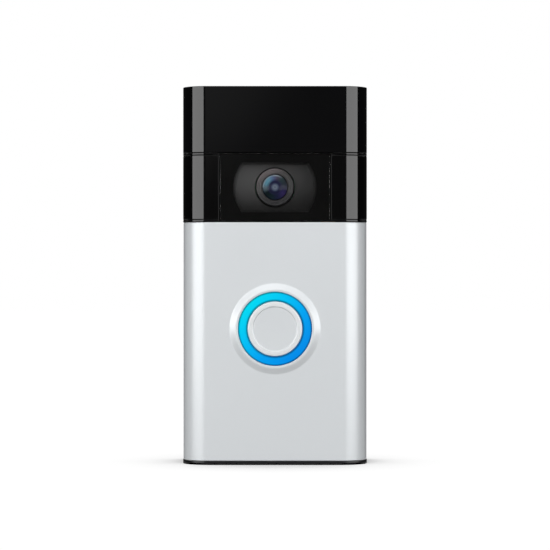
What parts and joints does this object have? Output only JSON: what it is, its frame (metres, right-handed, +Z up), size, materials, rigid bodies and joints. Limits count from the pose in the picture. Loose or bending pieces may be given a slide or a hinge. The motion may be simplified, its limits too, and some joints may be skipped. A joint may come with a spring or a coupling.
{
  "type": "video doorbell",
  "caption": "Slim upright video doorbell with a lit round button, a camera window and a wall bracket it hooks over.",
  "frame": {"origin": "centre of the four wall-screw holes, on the back face of the wall bracket, which lies on the wall", "axes": "+Z up the doorbell's height, +Y into the wall, so the front faces -Y; +X to the right as seen by a visitor facing the doorbell"},
  "size_m": [0.062, 0.028, 0.1264],
  "materials": {
    "bracket_grey": "moulded, fine texture",
    "housing_black": "moulded, fine texture",
    "seal_rubber": "soft",
    "blank_label": "matt foil label, left blank",
    "screw_steel": "machined",
    "terminal_brass": "plain",
    "setup_orange": "smooth",
    "tin_plate": "bright pressed sheet",
    "board_green": "solder mask over woven glass",
    "chip_black": "moulded package",
    "connector_ivory": "moulded",
    "frame_black": "satin",
    "faceplate_silver": "satin nickel coating",
    "cover_gloss": "high gloss",
    "surround_black": "high gloss",
    "window_clear": "polished, dark tint",
    "mask_black": "printed",
    "baffle_grey": "fine matt texture",
    "lens_glass": "anti-reflection coating, blue and violet",
    "barrel_grey": "satin",
    "filter_glass": "thin coated glass",
    "sensor_dark": "die under a cover glass",
    "flex_amber": "polyimide ribbon",
    "lamp_clear": "clear resin",
    "lamp_white": "moulded package",
    "sensor_lens_white": "milky sheet",
    "button_silver": "satin nickel coating",
    "ring_blue": "translucent, lit from behind",
    "silicone_clear": "translucent",
    "battery_blue": "shrink sleeve over a metal can",
    "foam_black": "foam",
    "speaker_black": "moulded",
    "cone_grey": "thin diaphragm",
    "magnet_steel": "plated",
    "wire_red": "insulated wire"
  },
  "bodies": {
    "bracket": {"mounting_bracket": "bracket_grey"},
    "doorbell": {"rear_housing": "housing_black", "housing_seal": "seal_rubber", "rear_label": "blank_label", "case_screws": "screw_steel", "terminal_plates": "terminal_brass", "setup_switch": "tin_plate", "usb_port": "tin_plate", "main_board": "board_green", "board_screws": "screw_steel", "board_chips": "chip_black", "shield_cans": "tin_plate", "wifi_antenna": "terminal_brass", "board_connectors": "connector_ivory", "front_frame": "frame_black", "faceplate": "faceplate_silver", "top_cover": "cover_gloss", "camera_surround": "surround_black", "camera_window": "window_clear", "window_mask": "mask_black", "camera_baffle": "baffle_grey", "front_lens": "lens_glass", "lens_barrel": "barrel_grey", "rear_lens": "lens_glass", "lens_holder": "chip_black", "ir_cut_filter": "filter_glass", "image_sensor": "sensor_dark", "camera_board": "board_green", "camera_standoffs": "terminal_brass", "ir_board": "board_green", "ir_leds": "lamp_clear", "sensor_flexes": "flex_amber", "pir_board": "board_green", "pir_sensors": "tin_plate", "pir_lens": "sensor_lens_white", "light_ring": "ring_blue", "button_membrane": "silicone_clear", "tact_switch": "tin_plate", "ring_leds": "lamp_white", "button_board": "board_green", "button_flex": "flex_amber", "battery_pack": "battery_blue", "battery_board": "board_green", "battery_leads": "wire_red", "battery_pads": "foam_black", "speaker_frame": "speaker_black", "speaker_cone": "cone_grey", "speaker_magnet": "magnet_steel", "speaker_gasket": "foam_black", "microphone": "terminal_brass", "microphone_boot": "seal_rubber", "audio_leads": "wire_red"},
    "security_screw_left": {"security_screw_left": "screw_steel"},
    "security_screw_right": {"security_screw_right": "screw_steel"},
    "terminal_screw_left": {"terminal_screw_left": "screw_steel"},
    "terminal_screw_right": {"terminal_screw_right": "screw_steel"},
    "setup_button": {"setup_button": "setup_orange"},
    "door_button": {"button_cap": "button_silver"}
  },
  "joints": [
    {"name": "lift_off", "type": "slide", "parent": "bracket", "child": "doorbell", "axis": [0, 0, 1], "range_m": [0, 0.008]},
    {"name": "door_button_press", "type": "slide", "parent": "doorbell", "child": "door_button", "axis": [0, 1, 0], "range_m": [0, 0.0005], "stiffness_N_per_m": 5000, "deforming": ["button_membrane"]},
    {"name": "setup_button_press", "type": "slide", "parent": "doorbell", "child": "setup_button", "axis": [0, -1, 0], "range_m": [0, 0.0006], "stiffness_N_per_m": 1500},
    {"name": "security_screw_left_out", "type": "slide", "parent": "doorbell", "child": "security_screw_left", "axis": [0, 0, -1], "range_m": [0, 0.006]},
    {"name": "security_screw_right_out", "type": "slide", "parent": "doorbell", "child": "security_screw_right", "axis": [0, 0, -1], "range_m": [0, 0.006]},
    {"name": "terminal_screw_left_out", "type": "slide", "parent": "doorbell", "child": "terminal_screw_left", "axis": [0, 1, 0], "range_m": [0, 0.0024]},
    {"name": "terminal_screw_right_out", "type": "slide", "parent": "doorbell", "child": "terminal_screw_right", "axis": [0, 1, 0], "range_m": [0, 0.0024]}
  ]
}
